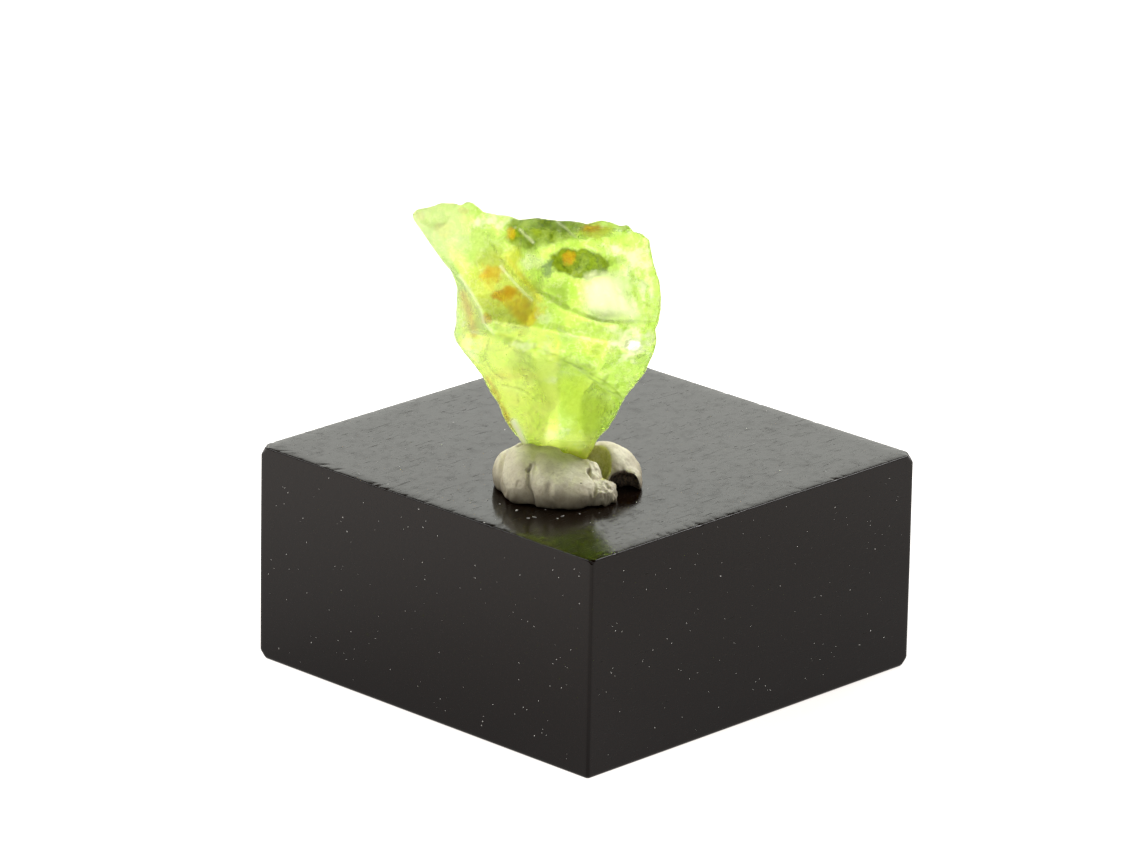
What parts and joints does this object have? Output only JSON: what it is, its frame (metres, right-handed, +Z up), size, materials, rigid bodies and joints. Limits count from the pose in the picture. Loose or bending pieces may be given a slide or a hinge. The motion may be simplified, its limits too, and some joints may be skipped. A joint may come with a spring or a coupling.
{
  "type": "rough peridot crystal on a display block",
  "caption": "Rough see-through green crystal fragment standing on its point in grey mounting putty on a square black display block.",
  "frame": {"origin": "centre of the block's flat underside", "axes": "+Z up, +X and +Y square to the block's sides; the stone's broad face looks towards -X and -Y"},
  "size_m": [0.025, 0.025, 0.0281],
  "materials": {
    "peridot": "clear yellow-green with rust stains, broken surfaces",
    "putty": "matte, pressed by hand",
    "block": "glossy with fine scratches and dust"
  },
  "bodies": {
    "root": {"peridot": "peridot", "putty": "putty", "display_block": "block"}
  },
  "joints": []
}
